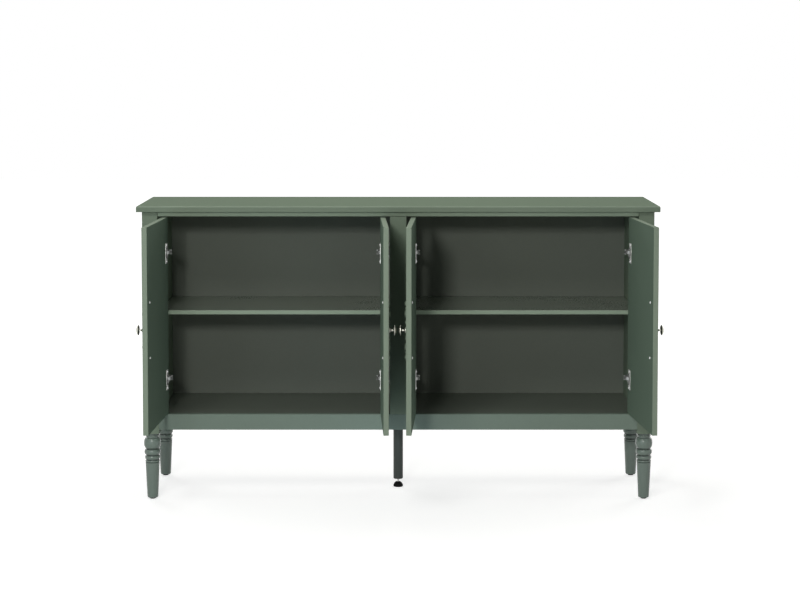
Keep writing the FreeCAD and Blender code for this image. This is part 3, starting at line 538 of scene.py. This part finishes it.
def headOf(group, endShare):
    # middle of the wider end of a screw, and the way that the head faces
    low, high = span(group)
    size = high - low
    axis = max(range(3), key=lambda a: size[a])
    middle = (low + high) / 2
    widths = []
    for end in (low[axis], high[axis]):
        near = [v.co for v in group if abs(v.co[axis] - end) < size[axis] * endShare]
        widths.append(max(max(abs(co[a] - middle[a]) for a in range(3) if a != axis) for co in near))
    facing = Vector((0, 0, 0))
    facing[axis] = 1 if widths[1] > widths[0] else -1
    tip = middle.copy()
    tip[axis] = high[axis] if facing[axis] > 0 else low[axis]
    return tip, facing


def crossScrews(node, look):
    # screws as cut, with a cross taken out of each head
    bm = meshOf(node)
    tool = bmesh.new()
    size = Matrix.Diagonal((look["length"] * mm, look["width"] * mm, 2 * look["depth"] * mm, 1))
    for group in islands(bm):
        tip, facing = headOf(group, look["endShare"])
        place = Matrix.Translation(tip) @ facing.to_track_quat("Z", "Y").to_matrix().to_4x4()
        for turn in (0, math.pi / 2):
            bmesh.ops.create_cube(tool, size=1, matrix=place @ Matrix.Rotation(turn, 4, "Z") @ size)
    tool.transform(shutPose(node).inverted())
    smoothCurves(bm)
    piece = addPiece(node, bm)
    toolMesh = bpy.data.meshes.new("recessTool")
    tool.to_mesh(toolMesh)
    tool.free()
    cutter = bpy.data.objects.new("recessTool", toolMesh)
    scene.collection.objects.link(cutter)
    cut = piece.modifiers.new("recess", "BOOLEAN")
    cut.operation, cut.solver, cut.use_self, cut.object = "DIFFERENCE", "EXACT", True, cutter
    bpy.context.view_layer.update()
    finished = bpy.data.meshes.new_from_object(piece.evaluated_get(bpy.context.evaluated_depsgraph_get()))
    piece.modifiers.clear()
    piece.data = finished
    bpy.data.objects.remove(cutter)


for node in ("panel_screws", "arm_screws", "top_screws"):
    crossScrews(node, crossRecess)
for door in doorNames:
    crossScrews(door + "_cup_screws", crossRecess)
    crossScrews(door + "_carving_screws", crossRecess)
print("screws cut")

# hinge cups: only the flange away from the arm keeps the bright nickel, and beside the arm and in the well the
# duller nickel is painted shade
hingeFlange = {"brightTo": 3.0, "depth": 2.2, "ear": 20.0}


def hingeCups(node, look):
    bm = meshOf(node)
    axle = jointOf(node)["pos_m"][0]
    for group in islands(bm):
        low, high = span(group)
        middle = (low + high) / 2
        for face in {face for vert in group for face in vert.link_faces}:
            offset = face.calc_center_median() - middle
            beside = offset.x * math.copysign(1, axle - middle.x) > look["brightTo"] * mm
            deep = high.y - middle.y - offset.y > look["depth"] * mm
            face.material_index = int((beside and abs(offset.z) < look["ear"] * mm) or deep)
    smoothCurves(bm)
    addPiece(node, bm, "dull")


for node in ("hinge_plates", "hinge_arms", "hinge_pins", "shelf_pins", "leg_glides", "centre_leg_plate",
             "centre_leg_insert", "carcass_dowels"):
    smoothPart(node)
for door in doorNames:
    hingeCups(door + "_hinge_cups", hingeFlange)
    smoothPart(door + "_hinge_links")
print("hinges and small parts shaded")

# metal knobs: radius and height of each turn from the seat up, and the heights between which the metal is painted
# dark as shade
knobTurning = {"sides": 72, "sharpest": 40, "stud": 2, "studLength": 11, "back": (11.7, 13.1),
               "profile": ((7, 0), (7, 1.2), (6.7, 1.8), (5.6, 2.6), (4.4, 3.4), (3.4, 4.3), (2.9, 5.4),
                           (2.7, 8), (2.8, 10.6), (3.4, 11.6), (5, 12), (12.9, 12.2), (14, 12.45),
                           (14.5, 13), (14.5, 14.5), (14.1, 15.1), (13.4, 15.3), (12.6, 15.35), (12.1, 15.7),
                           (11.3, 16.7), (9.4, 17.8), (6.8, 18.7), (3.6, 19.3), (0, 19.5))}
# carved plate: lobes as distance from the knob, half height, half width and rise, all in millimetres
carvedPlate = {"length": 198, "width": 44, "ground": 1.0, "edge": 1.2, "rim": 3.0, "rimWidth": 1.2,
               "rimRise": 0.3, "boss": 8.5, "bossRise": 3.0, "bossRing": 0.7, "bossRingRise": 0.9,
               "columns": 56, "rows": 220, "sharpest": 60, "flutes": 9, "fluteDepth": 2.4,
               "fluteFullAt": 12.5, "fanFoot": 1.15, "lobeFullness": 0.16,
               "lobes": ((21.8, 5, 7.9, 4.6), (45.9, 10.3, 14.1, 5.6), (60.8, 3.2, 7, 4.4),
                         (74, 6.3, 7, 5.2))}


def turnedKnob(node, look):
    low, high = shutSpan(node)
    stud = [(0, -look["studLength"]), (look["stud"], -look["studLength"]), (look["stud"], 0)]
    bm = turnedShape([*stud, *look["profile"]], look)
    for face in bm.faces:  # the rear of the disc is painted dark as shade
        height = face.calc_center_median().z / mm
        face.material_index = int(look["back"][0] < height < look["back"][1])
    seat = low.y + look["profile"][-1][1] * mm
    bm.transform(Matrix.Translation(((low.x + high.x) / 2, seat, (low.z + high.z) / 2))
                 @ Matrix.Rotation(math.pi / 2, 4, "X"))
    addPiece(node, bm, "knobBack")


def leafReach(along, look):
    # half the width of the leaf-shaped plate at a distance from its middle
    radius = (look["length"] ** 2 / 4 + look["width"] ** 2 / 4) / look["width"]
    return max(math.sqrt(radius ** 2 - along ** 2) - radius + look["width"] / 2, 0)


def carvedHeight(across, along, look):
    # rise of the carving above the door at a point of the plate
    inset = max(leafReach(along, look) - abs(across), 0)
    rounded = min(inset / look["edge"], 1)
    rise = look["ground"] * math.sqrt(1 - (1 - rounded) ** 2)
    rise += look["rimRise"] * max(0, 1 - ((inset - look["rim"]) / look["rimWidth"]) ** 2)
    for away, tall, wide, top in look["lobes"]:
        depth = 1 - ((abs(along) - away) / tall) ** 2 - (across / wide) ** 2
        if depth > 0:
            fan = math.atan2(across, abs(along) - away + tall * look["fanFoot"])
            wave = 0.5 - 0.5 * math.cos(look["flutes"] * fan * 2)
            flute = look["fluteDepth"] * wave * tall / look["fluteFullAt"]
            rise = max(rise, (top - flute) * depth ** look["lobeFullness"])
    away = math.hypot(across, along)
    if away < look["boss"]:
        return look["bossRise"]
    if away < look["boss"] + 2 * look["bossRing"]:
        ring = 1 - ((away - look["boss"] - look["bossRing"]) / look["bossRing"]) ** 2
        rise = max(rise, look["ground"] + look["bossRingRise"] * math.sqrt(max(ring, 0)))
    return rise


def carving(node, look):
    low, high = shutSpan(node)
    bm = bmesh.new()
    bmesh.ops.create_grid(bm, x_segments=look["columns"], y_segments=look["rows"], size=1)
    for vert in bm.verts:
        along = vert.co.y * look["length"] / 2
        across = vert.co.x * leafReach(along, look)
        vert.co = Vector((across, -carvedHeight(across, along, look), along)) * mm
    bmesh.ops.remove_doubles(bm, verts=bm.verts, dist=sameSpot)
    bmesh.ops.holes_fill(bm, edges=[e for e in bm.edges if e.is_boundary], sides=0)
    bmesh.ops.recalc_face_normals(bm, faces=bm.faces)
    smoothCurves(bm, look["sharpest"])
    bm.transform(Matrix.Translation(((low.x + high.x) / 2, high.y, (low.z + high.z) / 2)))
    addPiece(node, bm)


for door in doorNames:
    turnedKnob(door + "_knob", knobTurning)
    carving(door + "_carving", carvedPlate)
print("knobs and carved plates made")

# pale floor, white surroundings and soft lamps
studio = {"floor": 0.7, "floorRoughness": 0.9, "floorSize": 14.0, "glowNear": 0.66, "glowFar": 1.0,
          "nearRadius": 1.1, "farRadius": 3.2, "ambient": 0.13}
lamps = {"key": {"place": (-0.8, -5.0, 1.85), "aim": (0, 0, 0.5), "size": 0.4, "power": 58.0,
                 "colour": (1, 0.99, 0.96)},
         "leftFill": {"place": (-2.2, -4.6, 1.9), "aim": (0, 0, 0.5), "size": 1.0, "power": 6.0,
                      "colour": (1, 1, 1)},
         "rightFill": {"place": (1.6, -6.0, 1.9), "aim": (0, 0, 0.5), "size": 1.0, "power": 2.0,
                       "colour": (1, 1, 1)},
         "overhead": {"place": (0, 0.3, 3.0), "aim": (0, 0, 0.6), "size": 2.0, "power": 20.0,
                      "colour": (1, 1, 0.92)},
         "highLeft": {"place": (-1.1, -3.0, 3.1), "aim": (0, 0, 0.5), "size": 0.9, "power": 30.0,
                      "colour": (1, 1, 0.98)},
         "lowFill": {"place": (-1.6, -2.6, 0.25), "aim": (0, 0, 0.2), "size": 0.8, "power": 3.0,
                     "colour": (0.55, 0.78, 1)},
         "floorBounce": {"place": (-0.04, -0.34, 0.02), "aim": (-0.04, -0.34, 1.0), "size": 0.3, "power": 0.3,
                         "colour": (0.64, 0.79, 1)},
         "backLeft": {"place": (-2.6, 3.4, 2.0), "aim": (0, 0.3, 0.4), "size": 1.6, "power": 30.0,
                      "colour": (1, 1, 1)},
         "backRight": {"place": (2.8, 2.6, 1.8), "aim": (0, 0.3, 0.4), "size": 1.6, "power": 25.0,
                       "colour": (1, 1, 1)}}


def seenDirectly(shade):
    kinds = ("Is Camera Ray", "Is Glossy Ray", "Is Transmission Ray")
    ray = [shade.node("LightPath", out=name) for name in kinds]
    return shade.sum("MINIMUM", ray[0] + ray[1] + ray[2], 1.0)


def studioFloor(look):
    bm = bmesh.new()
    bmesh.ops.create_grid(bm, x_segments=1, y_segments=1, size=look["floorSize"])
    mesh = bpy.data.meshes.new("studioFloor")
    bm.to_mesh(mesh)
    bm.free()
    floor = bpy.data.objects.new("studioFloor", mesh)
    scene.collection.objects.link(floor)
    finish, shade, bsdf = startFinish("palePaper")
    plug(shade, bsdf, Base_Color=(look["floor"],) * 3 + (1,), Roughness=look["floorRoughness"])
    # the paper glows less round the object, so that its shadow shows there
    spot = shade.node("TexCoord", out="Object")
    away = shade.node("VectorMath", {"operation": "LENGTH"}, {0: spot}, out="Value")
    glowing = shade.node("MapRange", {"interpolation_type": "SMOOTHSTEP"},
                         {"Value": away, "From Min": look["nearRadius"], "From Max": look["farRadius"],
                          "To Min": look["glowNear"], "To Max": look["glowFar"]})
    glow = shade.node("Emission", None, {"Color": (1, 1, 1, 1), "Strength": seenDirectly(shade) * glowing})
    mixed = shade.node("AddShader", None, {0: Shade(shade.tree, bsdf.outputs[0]), 1: glow})
    out = shade.tree.nodes["Material Output"]
    shade.tree.links.new(mixed.socket, out.inputs["Surface"])
    mesh.materials.append(finish)


def surroundings(look):
    world = bpy.data.worlds.new("studioWorld")
    scene.world = world
    world.use_nodes = True
    world.node_tree.nodes.clear()
    shade = Shade(world.node_tree)
    light = shade.node("Background", None, {"Color": (1, 1, 1, 1), "Strength": look["ambient"]})
    white = shade.node("Background", None, {"Color": (1, 1, 1, 1), "Strength": 1.0})
    mixed = shade.node("MixShader", None, {0: seenDirectly(shade), 1: light, 2: white})
    out = world.node_tree.nodes.new("ShaderNodeOutputWorld")
    world.node_tree.links.new(mixed.socket, out.inputs["Surface"])


def lamp(name, look):
    data = bpy.data.lights.new(name, "AREA")
    data.shape, data.size, data.energy, data.color = "SQUARE", look["size"], look["power"], look["colour"]
    made = bpy.data.objects.new(name, data)
    made.location = look["place"]
    made.visible_camera = False
    made.rotation_euler = (Vector(look["aim"]) - Vector(look["place"])).to_track_quat("-Z", "Y").to_euler()
    scene.collection.objects.link(made)


studioFloor(studio)
surroundings(studio)
for name, look in lamps.items():
    lamp(name, look)
print("studio lit")
